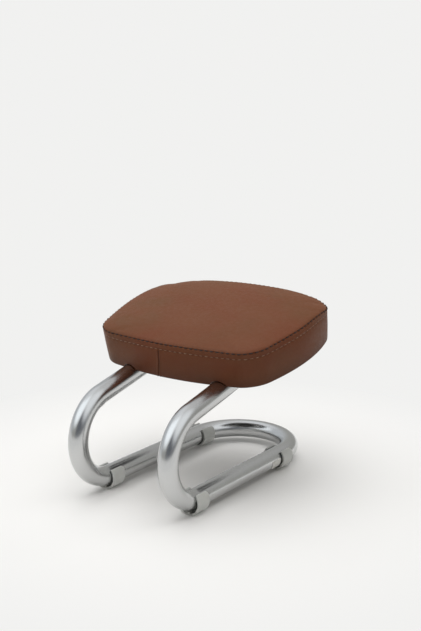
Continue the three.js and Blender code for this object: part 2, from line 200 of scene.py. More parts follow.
def joinRings(mesh, rings):
    for low, high in zip(rings, rings[1:]):
        for index in range(len(low)):
            after = (index + 1) % len(low)
            mesh.faces.new((low[index], low[after], high[after], high[index]))


# length from the first point to each, weighed by how fine each stretch asks to be
def runningLengths(points, fineness=lambda point: 1.0):
    total = [0.0]
    for first, second in zip(points, points[1:]):
        total.append(total[-1] + (second - first).length * fineness((first + second) / 2))
    return total


def pointTree(points):
    tree = KDTree(len(points))
    for index, point in enumerate(points):
        tree.insert(point, index)
    tree.balance()
    return tree


# shader helpers

def newMaterial(name):
    material = bpy.data.materials.new(name)
    material.use_nodes = True
    return material, material.node_tree, material.node_tree.nodes["Principled BSDF"]


# each input gets its value or its link, and a colour its fourth part
def feed(tree, node, inputs):
    for key, value in inputs.items():
        socket = node.inputs[key]
        if isinstance(value, bpy.types.NodeSocket):
            tree.links.new(value, socket)
        else:
            socket.default_value = (*value, 1) if socket.type == "RGBA" else value
    return node


def addNode(tree, kind, inputs=None, **values):
    node = tree.nodes.new(kind)
    for key, value in values.items():
        setattr(node, key, value)
    return feed(tree, node, inputs or {})


def remap(tree, source, fromLow, fromHigh, toLow, toHigh):
    return addNode(tree, "ShaderNodeMapRange", {
        "Value": source, "From Min": fromLow, "From Max": fromHigh, "To Min": toLow, "To Max": toHigh,
    }).outputs["Result"]


# a noise stays mostly between 0.3 and 0.7
def spread(tree, source, low, high):
    return remap(tree, source, 0.3, 0.7, low, high)


def mathNode(tree, operation, *inputs):
    return addNode(tree, "ShaderNodeMath", dict(enumerate(inputs)), operation=operation).outputs[0]


def scaled(tree, source, factor):
    return mathNode(tree, "MULTIPLY", source, factor)


# sockets 0, 6 and 7 are the factor and the two colours
def mixColour(tree, factor, first, second):
    return addNode(tree, "ShaderNodeMix", {0: factor, 6: first, 7: second}, data_type="RGBA").outputs[2]


def addNoise(tree, place, scale, detail=2):
    return addNode(tree, "ShaderNodeTexNoise", {"Vector": place, "Scale": scale, "Detail": detail}).outputs


# a group takes a place and named sizes, and gives named values
def newGroup(name, sizes, results):
    group = bpy.data.node_groups.new(name, "ShaderNodeTree")
    group.interface.new_socket(name="Vector", in_out="INPUT", socket_type="NodeSocketVector")
    for label, value in sizes.items():
        socket = group.interface.new_socket(name=label, in_out="INPUT", socket_type="NodeSocketFloat")
        socket.default_value = value
    for label in results:
        group.interface.new_socket(name=label, in_out="OUTPUT", socket_type="NodeSocketFloat")
    return group, group.nodes.new("NodeGroupInput").outputs, group.nodes.new("NodeGroupOutput")


def useGroup(tree, group, place, **sizes):
    node = tree.nodes.new("ShaderNodeGroup")
    node.node_tree = group
    return feed(tree, node, {"Vector": place, **sizes}).outputs


def objectCoordinates(tree):
    return addNode(tree, "ShaderNodeTexCoord").outputs["Object"]


# bump is (height, strength, distance); others are further inputs of the shader
def paint(tree, shader, colour, roughness, bump, others=None):
    height, strength, distance = bump
    node = addNode(tree, "ShaderNodeBump", {"Strength": strength, "Distance": distance, "Height": height})
    feed(tree, shader, {
        "Base Color": colour, "Roughness": roughness, "Normal": node.outputs["Normal"], **(others or {})})


# fine mottling: a slow and a quick noise, for uneven colour and gloss
def makeMottleGroup():
    group, start, end = newGroup("fineMottle", {"Size": 40.0, "Fineness": 12.0}, ("Slow", "Quick"))
    quickSize = mathNode(group, "MULTIPLY", start["Size"], start["Fineness"])
    slow = addNoise(group, start["Vector"], start["Size"], 4)
    quick = addNoise(group, start["Vector"], quickSize, 3)
    feed(group, end, {"Slow": slow["Fac"], "Quick": quick["Fac"]})
    return group


# pebbled hide: rounded cells with creases between them
def makeGrainGroup():
    group, start, end = newGroup("hideGrain", {"Scale": 900.0}, ("Height", "Crease"))
    place = start["Vector"]
    shifted = addNode(group, "ShaderNodeVectorMath", {
        0: addNoise(group, place, 260)["Color"], 1: (0.0012, 0.0012, 0.0012), 2: place,
    }, operation="MULTIPLY_ADD")
    cells = addNode(group, "ShaderNodeTexVoronoi", {
        "Vector": shifted.outputs[0], "Scale": start["Scale"]}, feature="DISTANCE_TO_EDGE")
    pebble = remap(group, cells.outputs["Distance"], 0.0, 0.22, 0.0, 1.0)
    pores = scaled(group, addNoise(group, place, 2600)["Fac"], 0.25)
    feed(group, end, {"Height": mathNode(group, "ADD", pebble, pores),
                      "Crease": mathNode(group, "SUBTRACT", 1.0, pebble)})
    return group


# plain weave of crossing yarns
def makeWeaveGroup():
    group, start, end = newGroup("plainWeave", {"Yarns": 900.0}, ("Height",))
    split = addNode(group, "ShaderNodeSeparateXYZ", {0: start["Vector"]})
    waves = []
    for axis in ("X", "Y"):
        turned = mathNode(group, "MULTIPLY", split.outputs[axis], start["Yarns"])
        waves.append(mathNode(group, "ABSOLUTE", mathNode(group, "SINE", turned)))
    feed(group, end, {"Height": mathNode(group, "MAXIMUM", *waves)})
    return group


mottleGroup = makeMottleGroup()
grainGroup = makeGrainGroup()
weaveGroup = makeWeaveGroup()


# two shades mottled together; glossFrom is Slow or Quick and bump is (strength, distance)
def makeMottled(name, shades, size, fineness, glossFrom, gloss, bump, metallic=0.0):
    material, tree, shader = newMaterial(name)
    mottle = useGroup(tree, mottleGroup, objectCoordinates(tree), Size=size, Fineness=fineness)
    paint(tree, shader, mixColour(tree, mottle["Slow"], *shades), spread(tree, mottle[glossFrom], *gloss),
          (mottle["Quick"], *bump), {"Metallic": metallic})
    return material


# frame tube

tubeLook = {
    "sides": 64,
    "armSteps": 24,
    "bendSteps": 64,
    "runnerSteps": 20,
    "loopSteps": 48,
    "stationSteps": (48, 60, 40, 80),
    "kinkDepth": 0.0019,
    "kinkTurn": math.radians(158),
    "kinkSpread": math.radians(4.5),
    "kinkReach": 0.01,
    "rimBevel": 0.0003,
    "shades": ((0.565, 0.57, 0.57), (0.61, 0.615, 0.615)),
    "roughness": (0.19, 0.25),
    "lineScale": (1400, 1400, 26),
}


# middle line of the tube as (point, direction, outward side), from the left arm's end to the right's
def tubeStations():
    armCount, bendCount, runnerCount, loopCount = tubeLook["stationSteps"]
    side = []
    for step in range(armCount + 1):
        side.append((armStart + armDirection * armLength * (1 - step / armCount), -armDirection))
    for step in range(1, bendCount + 1):
        turn = bendSweep * (1 - step / bendCount)
        point = Vector((0, runnerStart - bendRadius * math.sin(turn),
                        axisHeight + bendRadius * (1 - math.cos(turn))))
        side.append((point, Vector((0, math.cos(turn), -math.sin(turn)))))
    for step in range(1, runnerCount):
        side.append((Vector((0, runnerStart + runnerLength * step / runnerCount,
                             axisHeight)), Vector((0, 1, 0))))
    shift = Vector((halfFrame, 0, 0))
    line = [(point - shift, along, Vector((-1, 0, 0))) for point, along in side]
    for step in range(loopCount + 1):
        turn = math.pi * step / loopCount
        outward = Vector((-math.cos(turn), math.sin(turn), 0))
        along = Vector((math.sin(turn), math.cos(turn), 0))
        line.append((loopCentre + outward * halfFrame, along, outward))
    return line + [(point + shift, -along, Vector((1, 0, 0))) for point, along in reversed(side)]


stations = tubeStations()
stationPoints = [point for point, _, _ in stations]
stationTree = pointTree(stationPoints)


def makeTubeMaterial():
    material, tree, shader = newMaterial("satinSteelPaint")
    unrolled = addNode(tree, "ShaderNodeAttribute", attribute_name="unrolled").outputs["Vector"]
    mottle = useGroup(tree, mottleGroup, unrolled, Size=34.0, Fineness=60.0)
    # faint drawing lines run along the tube
    stretch = addNode(tree, "ShaderNodeMapping", {"Vector": unrolled, "Scale": tubeLook["lineScale"]})
    lines = addNoise(tree, stretch.outputs["Vector"], 1)["Fac"]
    uneven = mathNode(tree, "ADD", scaled(tree, mottle["Slow"], 0.6), scaled(tree, lines, 0.4))
    flake = mathNode(tree, "ADD", mottle["Quick"], scaled(tree, lines, 0.6))
    paint(tree, shader, mixColour(tree, mottle["Slow"], *tubeLook["shades"]),
          spread(tree, uneven, *tubeLook["roughness"]), (flake, 0.05, 0.0001), {"Metallic": 1.0})
    return material


def makeTube():
    tube = startCircle(
        vertices=tubeLook["sides"], radius=tubeRadius, rotation=(tilt - math.pi / 2, 0, 0),
        location=armStart + armDirection * armLength - Vector((halfFrame, 0, 0)))

    def straight(vector, steps):
        for _ in range(steps):
            extrudeBy(vector / steps)

    def bend(side, angle):
        bpy.ops.mesh.spin(
            steps=tubeLook["bendSteps"], angle=angle,
            center=(side * halfFrame, runnerStart, bendCentreHeight), axis=(1, 0, 0))

    straight(-armDirection * armLength, tubeLook["armSteps"])
    bend(-1, -bendSweep)
    straight(Vector((0, runnerLength, 0)), tubeLook["runnerSteps"])
    bpy.ops.mesh.spin(steps=tubeLook["loopSteps"], angle=math.pi, center=loopCentre, axis=(0, 0, 1))
    straight(Vector((0, -runnerLength, 0)), tubeLook["runnerSteps"])
    bend(1, bendSweep)
    straight(armDirection * armLength, tubeLook["armSteps"])
    fixNormals(tube)

    # the bending press left a shallow pinch on the inner side of each upper bend
    for vertex in tube.data.vertices:
        arm = Vector((0, vertex.co.y - runnerStart, vertex.co.z - bendCentreHeight))
        turn = math.atan2(-arm.y, -arm.z)
        inner = (bendRadius - arm.length) / tubeRadius
        if vertex.co.y < runnerStart + tubeLook["kinkReach"] and inner > 0:
            amount = math.exp(-((turn - tubeLook["kinkTurn"]) / tubeLook["kinkSpread"]) ** 2) * inner ** 2
            vertex.co -= arm.normalized() * tubeLook["kinkDepth"] * amount
    addModifier(tube, "SOLIDIFY", thickness=tubeWall, offset=-1, use_rim=True)
    bevelEdges(tube, tubeLook["rimBevel"], 2, 60)

    # each point's place on the tube as if it were straight, for what runs along it
    travelled = runningLengths(stationPoints)
    attribute = tube.data.attributes.new("unrolled", "FLOAT_VECTOR", "POINT")
    for index, vertex in enumerate(tube.data.vertices):
        _, nearest, _ = stationTree.find(vertex.co)
        point, along, outward = stations[nearest]
        offset = vertex.co - point
        attribute.data[index].vector = (
            offset.dot(outward), offset.dot(along.cross(outward)), travelled[nearest] + offset.dot(along))
    smoothShade(tube, 40)
    finishPiece(tube, "bentTube", makeTubeMaterial(), "tube", "frame_tube")


makeTube()
print("tube done")


# clips under the runners

clipLook = {
    "length": 0.023,
    "innerRadius": 0.0144,
    "wall": 0.0022,
    "centreHeight": 0.0161,
    "lip": math.radians(46),
    "lipMargin": 0.0001,
    "frontCorner": 0.002,
    "backCorner": 0.005,
    "ribWidth": 0.005,
    "ribTop": 0.0038,
    "ribMargin": 0.0006,
    "ribBelow": 0.003,
    "soleMerge": 0.000001,
    "edge": 0.00045,
    "sides": 120,
    "rows": 26,
    "loopTravel": 0.008,
    "frontRight": -0.112,
    "frontLeft": -0.103,
    "rearRight": 0.084,
    "finish": {
        "shades": ((0.58, 0.59, 0.57), (0.64, 0.65, 0.63)),
        "size": 160.0, "fineness": 14.0,
        "glossFrom": "Slow", "gloss": (0.52, 0.64),
        "bump": (0.12, 0.00015),
    },
}


def makeClip():
    length, rows, middle = clipLook["length"], clipLook["rows"], clipLook["centreHeight"]
    radius, lip = clipLook["innerRadius"], clipLook["lip"]
    clip = startCircle(vertices=clipLook["sides"], radius=radius, location=(0, -length / 2, middle),
                       rotation=(math.pi / 2, 0, 0))
    lipHeight = middle + radius * math.sin(lip) + clipLook["lipMargin"]
    selectWhere(clip, "verts", lambda vertex: vertex.co.z > lipHeight)
    bpy.ops.mesh.delete(type="VERT")
    bpy.ops.mesh.select_all(action="SELECT")
    for _ in range(rows):
        extrudeBy((0, length / rows, 0))
    fixNormals(clip)
    # the upper corners are rounded
    for vertex in clip.data.vertices:
        if vertex.co.z < middle:
            continue
        corner = clipLook["backCorner"] if vertex.co.y > 0 else clipLook["frontCorner"]
        down = radius * (lip - math.atan2(vertex.co.z - middle, abs(vertex.co.x)))
        inward = length / 2 - abs(vertex.co.y)
        if down < corner and inward < corner:
            up, out = 1 - down / corner, 1 - inward / corner
            roundUp = up * math.sqrt(1 - out ** 2 / 2)
            roundOut = out * math.sqrt(1 - up ** 2 / 2)
            angle = lip - corner * (1 - roundUp) / radius
            vertex.co.x = math.copysign(radius * math.cos(angle), vertex.co.x)
            vertex.co.z = middle + radius * math.sin(angle)
            vertex.co.y = math.copysign(length / 2 - corner * (1 - roundOut), vertex.co.y)
    addModifier(clip, "SOLIDIFY", thickness=clipLook["wall"], offset=1, use_even_offset=True)
    bevelEdges(clip, clipLook["edge"], 3, 50)

    # a rib inside carries the tube, and the sole is cut flat
    def underRib(face):
        spot = face.calc_center_median()
        return (abs(spot.x) < clipLook["ribWidth"] / 2 and abs(spot.y) < length / 2 - clipLook["ribMargin"]
                and spot.z < clipLook["ribBelow"] and face.normal.z > 0.9)

    editAll(clip)
    selectWhere(clip, "faces", underRib)
    extrudeBy((0, 0, clipLook["ribTop"]))
    mesh = bmesh.from_edit_mesh(clip.data)
    for vertex in mesh.verts:
        if vertex.select:
            vertex.co.z = clipLook["ribTop"]
    bmesh.update_edit_mesh(clip.data)
    bpy.ops.mesh.select_all(action="SELECT")
    bpy.ops.mesh.bisect(plane_co=(0, 0, 0), plane_no=(0, 0, 1), clear_inner=True, use_fill=True,
                        threshold=clipLook["soleMerge"])
    fixNormals(clip)
    smoothShade(clip, 30)
    return clip


# the tube pushes out the lips where it rises into the front bend
def openLips(clip):
    room = tubeRadius + gap
    for vertex in clip.data.vertices:
        centre, _, distance = stationTree.find(vertex.co)
        if distance < room and vertex.co.z > axisHeight:
            vertex.co = centre + (vertex.co - centre) * (room / distance)


def placeClips():
    material = makeMottled("greyMouldedPlastic", **clipLook["finish"])
    turn = clipLook["loopTravel"] / halfFrame
    loopPlace = loopCentre + Vector((-halfFrame * math.cos(turn), halfFrame * math.sin(turn), 0))
    first = makeClip()
    for name, node, x, y, angle in (
            ("frontRightClip", "front_right_foot", halfFrame, clipLook["frontRight"], 0),
            ("frontLeftClip", "front_left_foot", -halfFrame, clipLook["frontLeft"], 0),
            ("rearRightClip", "rear_right_foot", halfFrame, clipLook["rearRight"], 0),
            ("rearLeftClip", "rear_left_foot", loopPlace.x, loopPlace.y, -turn)):
        clip = duplicate(first)
        settle(clip, Matrix.Translation((x, y, 0)) @ Matrix.Rotation(angle, 4, "Z"))
        openLips(clip)
        finishPiece(clip, name, material, "foot", node)
    bpy.data.objects.remove(first)


placeClips()
print("clips done")


# blank sticker on the right runner

stickerLook = {
    "thickness": 0.00022,
    "lift": 0.00008,
    "low": math.radians(-45),
    "high": math.radians(13),
    "spanMargin": 0.001,
    "front": 0.051,
    "back": 0.071,
    "sides": 180,
    "rows": 10,
    "edge": 0.00006,
    "finish": {
        "shades": ((0.78, 0.78, 0.74), (0.85, 0.85, 0.82)),
        "size": 220.0, "fineness": 9.0,
        "glossFrom": "Quick", "gloss": (0.42, 0.58),
        "bump": (0.1, 0.0001),
    },
}


def makeSticker():
    look = stickerLook
    middle, halfSpan = (look["low"] + look["high"]) / 2, (look["high"] - look["low"]) / 2
    sticker = startCircle(
        vertices=look["sides"], radius=tubeRadius + look["lift"], rotation=(math.pi / 2, 0, 0))
    aim = Vector((math.cos(middle), 0, math.sin(middle)))
    selectWhere(sticker, "verts", lambda vertex: vertex.co.angle(aim) > halfSpan + look["spanMargin"])
    bpy.ops.mesh.delete(type="VERT")
    bpy.ops.mesh.select_all(action="SELECT")
    for _ in range(look["rows"]):
        extrudeBy((0, (look["back"] - look["front"]) / look["rows"], 0))
    fixNormals(sticker)
    addModifier(sticker, "SOLIDIFY", thickness=look["thickness"], offset=1)
    bevelEdges(sticker, look["edge"], 2, 50)
    settle(sticker, Matrix.Translation((halfFrame, look["front"], axisHeight)))
    smoothShade(sticker, 40)
    paper = makeMottled("blankPaper", **look["finish"])
    finishPiece(sticker, "blankSticker", paper, "label", "blank_label")


makeSticker()
print("sticker done")


# fasteners and arm plugs, in the seat's frame

fixingLook = {
    "washerRadius": 0.0075,
    "washerThickness": 0.0012,
    "washerEase": 0.0004,
    # length and sides of the bars that cut the saddle and the hole
    "saddleBar": (0.04, 128),
    "holeBar": (0.02, 32),
    "boltRadius": 0.003,
    "boltTop": 0.0152,
    "boltChamfer": 0.0006,
    "headRadius": 0.0055,
    "headHeight": 0.0033,
    # shares of the head's radius and height, from its side to its face
    "headDome": ((1.0, 0.22), (0.95, 0.45), (0.84, 0.68), (0.68, 0.88), (0.55, 0.97), (0.46, 1.0)),
    "socketWidth": 0.004,
    "socketDepth": 0.002,
    "smallChamfer": 0.0003,
    "frontPlace": -0.052,
    "rearPlace": 0.038,
    "plugEase": 0.001,
    "plugHead": 0.003,
    "plugSpigot": 0.014,
    "plugChamfer": 0.0015,
    "plugEdge": 0.0002,
    "plugFace": 0.4,
    # how far in from the plug's side and down from its face
    "plugDome": ((0.0, 0.0016), (0.0004, 0.0009), (0.0012, 0.0005), (0.0035, 0.0002)),
    "zinc": {
        "shades": ((0.40, 0.42, 0.45), (0.50, 0.52, 0.55)),
        "size": 300.0, "fineness": 8.0,
        "glossFrom": "Quick", "gloss": (0.26, 0.42),
        "bump": (0.08, 0.0001),
        "metallic": 0.95,
    },
    "black": {
        "shades": ((0.022, 0.022, 0.024), (0.035, 0.035, 0.037)),
        "size": 200.0, "fineness": 12.0,
        "glossFrom": "Slow", "gloss": (0.45, 0.6),
        "bump": (0.12, 0.00015),
    },
}


# a turned piece on the Z axis through (radius, height) steps, closed at both ends
def turnedPiece(profile, sides=48):
    piece = startCircle(
        vertices=sides, radius=profile[0][0], fill_type="NGON", location=(0, 0, profile[0][1]))
    for (radius, height), (nextRadius, nextHeight) in zip(profile, profile[1:]):
        extrudeBy((0, 0, nextHeight - height))
        scale = nextRadius / radius
        bpy.ops.transform.resize(value=(scale, scale, 1), center_override=(0, 0, nextHeight))
    fixNormals(piece)
    return piece


def makeBolt():
    look = fixingLook
    top = -armAxisDrop - tubeRadius - 2 * gap - look["washerThickness"]
    radius, head, high = look["boltRadius"], look["headRadius"], look["headHeight"]
    bolt = turnedPiece([
        (radius - look["boltChamfer"], look["boltTop"]), (radius, look["boltTop"] - look["boltChamfer"]),
        (radius, top), (head - look["smallChamfer"], top), (head, top - look["smallChamfer"]),
        *((head * out, top - high * down) for out, down in look["headDome"])])
    cutWith(bolt, barCutter(
        look["socketWidth"] / math.sqrt(3), 2 * look["socketDepth"], 6, (0, 0, top - high)))
    smoothShade(bolt, 30)
    return bolt


def makeWasher():
    look = fixingLook
    radius, thick, tube = look["washerRadius"], look["washerThickness"], tubeRadius
    bottom = -armAxisDrop - tube - gap - thick
    rise = tube - math.sqrt(tube ** 2 - radius ** 2)
    washer = turnedPiece([
        (radius - look["smallChamfer"], bottom), (radius, bottom + look["smallChamfer"]),
        (radius, bottom + thick + rise)], 64)
    cutWith(washer, barCutter(
        tube + gap, *look["saddleBar"], (0, 0, -armAxisDrop), True))
    cutWith(washer, barCutter(look["boltRadius"] + look["washerEase"], *look["holeBar"], (0, 0, bottom)))
    bevelEdges(washer, look["smallChamfer"] / 2, 2, 45)
    smoothShade(washer, 30)
    return washer


def makePlug():
    look = fixingLook
    tube, head, spigot = tubeRadius, look["plugHead"], look["plugSpigot"]
    bore = tube - tubeWall - look["plugEase"]
    plug = turnedPiece([
        (bore - look["plugChamfer"], -spigot), (bore, look["plugChamfer"] - spigot), (bore, gap),
        (tube - look["plugEdge"], gap), (tube, gap + look["plugEdge"]),
        *((tube - inward, gap + head - down) for inward, down in look["plugDome"]),
        (tube * look["plugFace"], gap + head)], 64)
    smoothShade(plug, 30)
    settle(plug, Matrix.Rotation(-math.pi / 2, 4, "X"))
    return plug


def placeFixings():
    zinc = makeMottled("zincPlate", **fixingLook["zinc"])
    black = makeMottled("blackMouldedPlastic", **fixingLook["black"])
    bolt, washer, plug = makeBolt(), makeWasher(), makePlug()
    for side, sideName in ((1, "right"), (-1, "left")):
        for place, endName in ((fixingLook["frontPlace"], "front"), (fixingLook["rearPlace"], "rear")):
            for first, word, node in ((bolt, "Bolt", "seat_bolt"), (washer, "Washer", "saddle_washer")):
                copy = duplicate(first)
                settle(copy, seatMatrix @ Matrix.Translation((side * halfFrame, place, 0)))
                finishPiece(copy, f"{endName}{sideName.title()}{word}", zinc, "zinc",
                            f"{endName}_{sideName}_{node}")
        copy = duplicate(plug)
        settle(copy, seatMatrix @ Matrix.Translation((side * halfFrame, armEnd, -armAxisDrop)))
        finishPiece(copy, f"{sideName}ArmPlug", black, "plug", f"{sideName}_arm_plug")
    for first in (bolt, washer, plug):
        bpy.data.objects.remove(first)
    for name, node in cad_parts.items():
        if "tee_nut" in name or "staple" in name:
            dress(node, zinc)


placeFixings()
print("fixings done")


# cushion, made in the seat's own frame and then set on the arms

cushionLook = {
    "halfWidth": 0.1422,
    "halfDepth": 0.1058,
    "longSideBow": 0.0158,
    "shortSideBow": 0.0194,
    "bowBack": 0.0099,
    "frontCornerRadius": 0.020,
    "backCornerRadius": 0.0295,
    "cornerSpan": 0.020,
    "cornerPower": 1.35,
    "frontDrop": -0.0006,
    "backDrop": 0.0075,
    "dropPower": 1.4,
    "farLift": 0.0030,
    "cornerTopInset": -0.003,
    "cornerBottomInset": 0.0014,
    "frontFlare": 0.0027,
    "bandHeight": 0.0464,
    "bandTopInset": 0.004,
    "bandBottomInset": 0.0005,
    "bottomEdge": 0.0022,
    "rollHeight": 0.0030,
    "rollInset": 0.0026,
    "crownHeight": 0.0102,
    "panelShares": (1.0, 0.965, 0.92, 0.86),
    "hemInset": 0.022,
    "hemFold": 0.0125,
    "coverThickness": 0.0014,
    "recessInset": 0.0037,
    "recessTop": 0.0140,
    "channelRadius": 0.0138,
    "channelEnd": 0.0713,
    "channelLead": 0.01,
    "columnsAlong": 48,
    "columnsAcross": 36,
    "mapSteps": 3200,
    # the simulation
    "startFill": 0.6,
    "pressure": 4.0,
    "quality": 6,
    "frames": 20,
    "mostSwell": 0.006,
    # heights of the rings and of the lower row of stitches, and the band's join
    "hemHeights": (0.0, 0.0004, 0.0012, 0.0022),
    "bandHeights": (0.006, 0.012, 0.0185, 0.025, 0.031, 0.0352,
                    0.0378, 0.0394, 0.0410, 0.0426, 0.0442, 0.0456),
    # the rings over the seam: how far in, how far up and how far held
    "rollRings": ((0.0001, 0.0005, 0.4), (0.0006, 0.0011, 0)),
    "secondRow": 0.0394,
    "stitches": 112,
    "joinPlace": -0.0139,
    "joinFoot": -0.0190,
    "joinBend": 0.024,
    "joinSpread": 0.008,
    "joinFineness": 4,
    # each groove, ridge or pucker: how deep, how far past its line and how wide
    "seam": (0.0011, 0.0, 0.00062),
    "seamPucker": (0.00016, 0.0014, 0.0012),
    "ledge": (0.00022, -0.0016, 0.0005),
    "row": (0.00034, 0.0, 0.0007),
    "rowStitch": (0.00016, 0.0, 0.0007),
    "rowPucker": (0.00013, -0.0022, 0.0016),
    "join": (0.0011, 0.0, 0.00055),
    "joinRidge": (0.00036, 0.0021, 0.0012),
    "stripDepth": 0.00026,
    # widths of the painted shade in the sewn lines, at the hem's lower edge and up from the band's foot
    "shadeLineWidth": 0.0007,
    "hemShade": 0.0009,
    "footShade": 0.012,
    "underside": 0.0005,
    "sewnReach": -0.012,
    "hemReach": -0.004,
    "sway": 0.00022,
    "quickSway": 0.00005,
    "swayReach": 0.004,
    "swayAbove": 0.003,
    "leather": (0.138, 0.037, 0.0115),
    "leatherOlive": (0.122, 0.047, 0.0155),
    "leatherPale": (0.142, 0.047, 0.017),
    # leatherDark is the painted shade's colour; it also darkens the grain's creases and the seam thread's
    # twist
    "leatherDark": (0.016, 0.007, 0.005),
}
cornerSigns = ((1, -1), (1, 1), (-1, 1), (-1, -1))


# place runs from 0 to 8 round the cushion: each corner's arc and then the side after it
def outlinePoint(place, inset):
    look = cushionLook
    cornerX = look["halfWidth"] - look["shortSideBow"] - inset
    cornerY = look["halfDepth"] - look["longSideBow"] - inset

    def arcPoint(number, share):
        signX, signY = cornerSigns[number % 4]
        radius = look["frontCornerRadius"] if signY < 0 else look["backCornerRadius"]
        angle = (number - 1 + share) * math.pi / 2
        return Vector((signX * (cornerX - radius) + radius * math.cos(angle),
                       signY * (cornerY - radius) + radius * math.sin(angle)))

    place %= 8
    index, part = int(place // 2), place % 2
    if part < 1:
        point = arcPoint(index, part)
    else:
        point = arcPoint(index, 1).lerp(arcPoint(index + 1, 0), part - 1)
    x, y = point
    sideShare = min(1.2, abs(y - look["bowBack"]) / cornerY)
    return Vector((x * (1 + look["shortSideBow"] / cornerX * (1 - sideShare ** 2)),
                   y * (1 + look["longSideBow"] / cornerY * (1 - (x / cornerX) ** 2))))


# one at the four corners and falling away along the sides
def cornerShare(point):
    look = cushionLook
    acrossShare = point.x / (look["halfWidth"] - look["cornerSpan"])
    alongShare = point.y / (look["halfDepth"] - look["cornerSpan"])
    return min(1.1, (acrossShare * alongShare) ** 2) ** look["cornerPower"]


# as outlinePoint, with another inset at the corners, where the band stands straight
def ringPoint(place, inset, cornerInset, height=None):
    look = cushionLook
    point = outlinePoint(place, 0.0)
    share = min(1.0, cornerShare(point))
    # the front corners flare at the foot
    if point.y < 0 and height is not None:
        cornerInset -= look["frontFlare"] * max(0.0, 1 - height / look["bandHeight"])
    return outlinePoint(place, inset).lerp(outlinePoint(place, cornerInset), share)


def seamPoint(place, inward=0.0):
    return ringPoint(place, cushionLook["bandTopInset"] + inward, cushionLook["cornerTopInset"] + inward)


# how far the cover hangs down at a corner, less the lift of the left and back sides between corners
def droop(point):
    look = cushionLook
    acrossShare, alongShare = point.x / look["halfWidth"], point.y / look["halfDepth"]
    left = min(0.0, acrossShare) ** 2 * max(0.0, 1 - alongShare ** 2)
    back = max(0.0, alongShare) ** 2 * max(0.0, 1 - acrossShare ** 2)
    drop = look["frontDrop"] if point.y < 0 else look["backDrop"]
    drop = drop * cornerShare(point) ** look["dropPower"] - look["farLift"] * (left + back)
    return drop * min(1.0, max(0.0, point.z / look["bandHeight"]))


# places along one stretch of the outline, closer together where fineness asks for it
def spacedPlaces(start, end, count, fineness=lambda point: 1.0):
    steps = cushionLook["mapSteps"] // 2
    samples = [start + (end - start) * step / steps for step in range(steps + 1)]
    total = runningLengths([seamPoint(place) for place in samples], fineness)
    places, index = [], 0
    for number in range(count):
        goal = total[-1] * number / count
        while total[index + 1] < goal:
            index += 1
        share = (goal - total[index]) / (total[index + 1] - total[index])
        places.append(samples[index] + share * (samples[index + 1] - samples[index]))
    return places


# the band's inset along the sides and at the corners
def bandInset(height):
    look = cushionLook
    up = 2 * height / look["bandHeight"] - 1
    edge = look["bandTopInset"] if up > 0 else look["bandBottomInset"]
    below = max(0.0, look["bottomEdge"] - height)
    bend = look["bottomEdge"] - math.sqrt(look["bottomEdge"] ** 2 - below ** 2)
    lowInset, highInset = look["cornerBottomInset"], look["cornerTopInset"]
    straight = lowInset + (highInset - lowInset) * (up + 1) / 2
    return edge * up ** 2 + bend, straight + bend


# each ring's two insets, its height, and how far it is held while the cover swells
def cushionRings():
    look = cushionLook
    top, thick = look["bandHeight"], look["coverThickness"]
    rings = [(inset, inset, height, 1) for inset, height in (
        (look["recessInset"], look["recessTop"]), (look["recessInset"], thick), (look["hemInset"], thick),
        (look["hemInset"], 0.0), (look["hemFold"], 0.0))]
    rings += [(*bandInset(height), height, 1) for height in look["hemHeights"]]
    rings += [(*bandInset(height), height, 0) for height in look["bandHeights"]]
    rings.append((*bandInset(top), top, 1))
    for inward, up, held in look["rollRings"]:
        rings.append((look["bandTopInset"] + inward, look["cornerTopInset"] + inward, top + up, held))
    return rings


def crownLevel(share, fill):
    look = cushionLook
    return look["bandHeight"] + look["rollHeight"] + fill * (
        look["crownHeight"] - look["rollHeight"]) * (1 - share ** 3)


def makeCushionMesh(fill):
    look = cushionLook
    along, across = look["columnsAlong"], look["columnsAcross"]

    def nearJoin(point):
        return 1 + look["joinFineness"] * bell(point.x - look["joinPlace"], look["joinSpread"])

    places = spacedPlaces(6.5, 8.5, along, nearJoin) + spacedPlaces(0.5, 2.5, across)
    places += spacedPlaces(2.5, 4.5, along) + spacedPlaces(4.5, 6.5, across)
    mesh = bmesh.new()
    pins = mesh.verts.layers.float.new("held")
    rows = []

    def addRow(points, pin):
        row = []
        for point in points:
            vertex = mesh.verts.new(point)
            vertex[pins] = pin
            row.append(vertex)
        rows.append(row)

    for inset, cornerInset, height, pin in cushionRings():
        addRow([(*ringPoint(place, inset, cornerInset, height), height) for place in places], pin)
    panel = [seamPoint(place, look["rollInset"]) for place in places]
    for share in look["panelShares"]:
        addRow([(*(point * share), crownLevel(share, fill)) for point in panel], 0)
    joinRings(mesh, rows)
    mesh.faces.new(reversed(rows[0]))

    # the middle of the panel is a plain grid between the four corners
    edge = rows[-1]
    angles = sorted((math.atan2(point.y, point.x), point.length) for point in panel)

    def shareAt(point):
        angle = math.atan2(point.y, point.x)
        index = min(range(len(angles)), key=lambda number: abs(angles[number][0] - angle))
        return min(1.0, point.length / angles[index][1])

    front, right = edge[:along + 1], edge[along:along + across + 1]
    back = list(reversed(edge[along + across:2 * along + across + 1]))
    left = list(reversed(edge[2 * along + across:] + edge[:1]))
    grid = [list(front)]
    for step in range(1, across):
        v, row = step / across, [left[step]]
        for number in range(1, along):
            u = number / along
            spot = (front[number].co * (1 - v) + back[number].co * v
                    + left[step].co * (1 - u) + right[step].co * u
                    - front[0].co * (1 - u) * (1 - v) - front[along].co * u * (1 - v)
                    - back[0].co * (1 - u) * v - back[along].co * u * v)
            spot.z = crownLevel(shareAt(Vector((spot.x, spot.y))), fill)
            row.append(mesh.verts.new(spot))
        row.append(right[step])
        grid.append(row)
    grid.append(back)
    for low, high in zip(grid, grid[1:]):
        for number in range(along):
            mesh.faces.new((low[number], low[number + 1], high[number + 1], high[number]))
    return addMesh("seatCushion", mesh)


